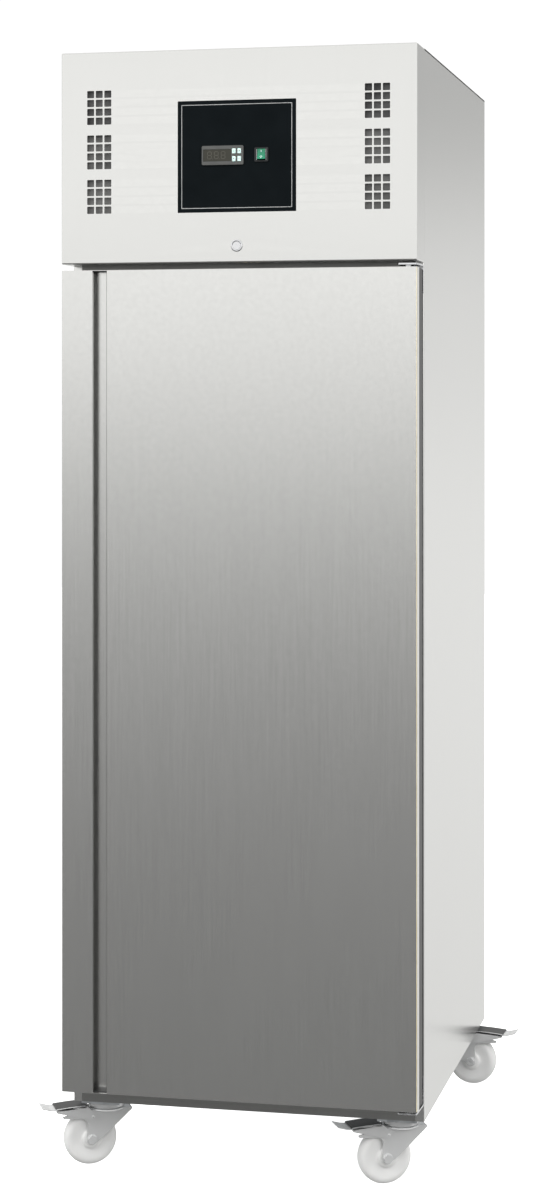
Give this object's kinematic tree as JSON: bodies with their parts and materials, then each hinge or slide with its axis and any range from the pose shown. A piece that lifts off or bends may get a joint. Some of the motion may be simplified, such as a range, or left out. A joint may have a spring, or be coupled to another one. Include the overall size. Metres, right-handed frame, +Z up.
{
  "type": "reach-in refrigerator",
  "caption": "Tall stainless refrigerator cabinet with one hinged full-height door, top machine compartment, inner shelves and braked swivel castors.",
  "frame": {"origin": "floor level, centre of the footprint", "axes": "+Z up, +X to the right seen from the front, +Y from the door to the back"},
  "size_m": [0.8026, 0.8559, 2.03],
  "materials": {
    "stainless": "brushed stainless, vertical grain",
    "stainless_inner": "fine 2B stainless",
    "galvanised": "galvanised sheet",
    "zinc_plated": "bright zinc plate",
    "black_gloss": "glossy black panel",
    "black_plastic": "matt black moulding",
    "display_window": "smoked window",
    "button_grey": "satin keys",
    "rocker_green": "lit green lens",
    "foam": "polyurethane foam",
    "gasket_grey": "soft magnetic gasket",
    "nylon_white": "white nylon",
    "copper": "drawn copper tube",
    "fin_aluminium": "bare aluminium fins",
    "compressor_black": "black enamel",
    "rubber_black": "rubber",
    "grey_plastic": "grey moulding"
  },
  "bodies": {
    "cabinet": {"side_panel_left": "stainless", "side_panel_right": "stainless", "back_panel": "galvanised", "base_pan": "galvanised", "ceiling_deck": "galvanised", "cabinet_foam": "foam", "inner_liner": "stainless_inner", "front_frame": "stainless", "fascia_panel": "stainless", "top_cover": "stainless", "rear_grille": "galvanised", "cable_gland": "black_plastic", "cabinet_screws": "zinc_plated", "control_plate": "black_gloss", "controller_case": "black_plastic", "controller_display": "display_window", "switch_bezel": "black_plastic", "lock_body": "zinc_plated", "shelf_uprights": "stainless_inner", "shelf_runners": "stainless_inner", "wire_shelves": "zinc_plated", "evaporator_housing": "stainless_inner", "evaporator_coil": "fin_aluminium", "evaporator_fan_motor": "black_plastic", "drain_pipe": "grey_plastic", "unit_tray": "galvanised", "compressor": "compressor_black", "compressor_grommets": "rubber_black", "condenser_coil": "fin_aluminium", "condenser_fan_frame": "galvanised", "refrigerant_pipes": "copper", "electrical_box": "grey_plastic", "hinge_brackets": "zinc_plated", "castor_heads": "zinc_plated"},
    "door": {"door_skin": "stainless", "door_foam": "foam", "door_liner": "stainless_inner", "door_gasket": "gasket_grey", "door_edge_frame": "black_plastic", "hinge_bushes": "nylon_white"},
    "lock_barrel": {"lock_barrel": "zinc_plated"},
    "rocker": {"switch_rocker": "rocker_green"},
    "condenser_fan": {"condenser_fan_blade": "black_plastic"},
    "evaporator_fan": {"evaporator_fan_blade": "black_plastic"},
    "button_1": {"controller_button_1": "button_grey"},
    "button_2": {"controller_button_2": "button_grey"},
    "button_3": {"controller_button_3": "button_grey"},
    "button_4": {"controller_button_4": "button_grey"},
    "fork_fl": {"castor_fork_fl": "zinc_plated"},
    "wheel_fl": {"castor_wheel_fl": "nylon_white"},
    "pedal_fl": {"brake_pedal_fl": "black_plastic"},
    "fork_fr": {"castor_fork_fr": "zinc_plated"},
    "wheel_fr": {"castor_wheel_fr": "nylon_white"},
    "pedal_fr": {"brake_pedal_fr": "black_plastic"},
    "fork_rl": {"castor_fork_rl": "zinc_plated"},
    "wheel_rl": {"castor_wheel_rl": "nylon_white"},
    "pedal_rl": {"brake_pedal_rl": "black_plastic"},
    "fork_rr": {"castor_fork_rr": "zinc_plated"},
    "wheel_rr": {"castor_wheel_rr": "nylon_white"},
    "pedal_rr": {"brake_pedal_rr": "black_plastic"}
  },
  "joints": [
    {"name": "door_hinge", "type": "hinge", "parent": "cabinet", "child": "door", "pos_m": [0.303, -0.395, 0.898], "axis": [0, 0, 1], "range_deg": [0, 105], "stiffness_Nm_per_rad": 1.2, "springref_deg": -20.05},
    {"name": "lock_turn", "type": "hinge", "parent": "cabinet", "child": "lock_barrel", "pos_m": [0, -0.42, 1.679], "axis": [0, 1, 0], "range_deg": [0, 90]},
    {"name": "rocker_tilt", "type": "hinge", "parent": "cabinet", "child": "rocker", "pos_m": [0.0455, -0.423, 1.8395], "axis": [1, 0, 0], "range_deg": [0, 16]},
    {"name": "button_1_press", "type": "slide", "parent": "cabinet", "child": "button_1", "axis": [0, 1, 0], "range_m": [0, 0.0008], "stiffness_N_per_m": 400, "springref_m": -0.0005},
    {"name": "button_2_press", "type": "slide", "parent": "cabinet", "child": "button_2", "axis": [0, 1, 0], "range_m": [0, 0.0008], "stiffness_N_per_m": 400, "springref_m": -0.0005},
    {"name": "button_3_press", "type": "slide", "parent": "cabinet", "child": "button_3", "axis": [0, 1, 0], "range_m": [0, 0.0008], "stiffness_N_per_m": 400, "springref_m": -0.0005},
    {"name": "button_4_press", "type": "slide", "parent": "cabinet", "child": "button_4", "axis": [0, 1, 0], "range_m": [0, 0.0008], "stiffness_N_per_m": 400, "springref_m": -0.0005},
    {"name": "condenser_fan_spin", "type": "hinge", "parent": "cabinet", "child": "condenser_fan", "pos_m": [0, -0.217, 1.8051], "axis": [0, 1, 0], "continuous": true},
    {"name": "evaporator_fan_spin", "type": "hinge", "parent": "cabinet", "child": "evaporator_fan", "pos_m": [0, 0.069, 1.526], "axis": [0, 1, 0], "continuous": true},
    {"name": "castor_swivel_fl", "type": "hinge", "parent": "cabinet", "child": "fork_fl", "pos_m": [-0.275, -0.305, 0.1], "axis": [0, 0, 1], "continuous": true},
    {"name": "wheel_spin_fl", "type": "hinge", "parent": "fork_fl", "child": "wheel_fl", "pos_m": [-0.30325, -0.32002, 0.049], "axis": [0.4695, -0.8829, 0], "continuous": true},
    {"name": "brake_press_fl", "type": "hinge", "parent": "fork_fl", "child": "pedal_fl", "pos_m": [-0.30149, -0.31908, 0.092], "axis": [0.4695, -0.8829, 0], "range_deg": [0, 7]},
    {"name": "castor_swivel_fr", "type": "hinge", "parent": "cabinet", "child": "fork_fr", "pos_m": [0.275, -0.305, 0.1], "axis": [0, 0, 1], "continuous": true},
    {"name": "wheel_spin_fr", "type": "hinge", "parent": "fork_fr", "child": "wheel_fr", "pos_m": [0.24675, -0.32002, 0.049], "axis": [0.4695, -0.8829, 0], "continuous": true},
    {"name": "brake_press_fr", "type": "hinge", "parent": "fork_fr", "child": "pedal_fr", "pos_m": [0.24851, -0.31908, 0.092], "axis": [0.4695, -0.8829, 0], "range_deg": [0, 7]},
    {"name": "castor_swivel_rl", "type": "hinge", "parent": "cabinet", "child": "fork_rl", "pos_m": [-0.275, 0.379, 0.1], "axis": [0, 0, 1], "continuous": true},
    {"name": "wheel_spin_rl", "type": "hinge", "parent": "fork_rl", "child": "wheel_rl", "pos_m": [-0.30693, 0.37694, 0.049], "axis": [0.0645, -0.9979, 0], "continuous": true},
    {"name": "brake_press_rl", "type": "hinge", "parent": "fork_rl", "child": "pedal_rl", "pos_m": [-0.30494, 0.37706, 0.092], "axis": [0.0645, -0.9979, 0], "range_deg": [0, 7]},
    {"name": "castor_swivel_rr", "type": "hinge", "parent": "cabinet", "child": "fork_rr", "pos_m": [0.275, 0.379, 0.1], "axis": [0, 0, 1], "continuous": true},
    {"name": "wheel_spin_rr", "type": "hinge", "parent": "fork_rr", "child": "wheel_rr", "pos_m": [0.30693, 0.37694, 0.049], "axis": [0.0645, 0.9979, 0], "continuous": true},
    {"name": "brake_press_rr", "type": "hinge", "parent": "fork_rr", "child": "pedal_rr", "pos_m": [0.30494, 0.37706, 0.092], "axis": [0.0645, 0.9979, 0], "range_deg": [0, 7]}
  ]
}
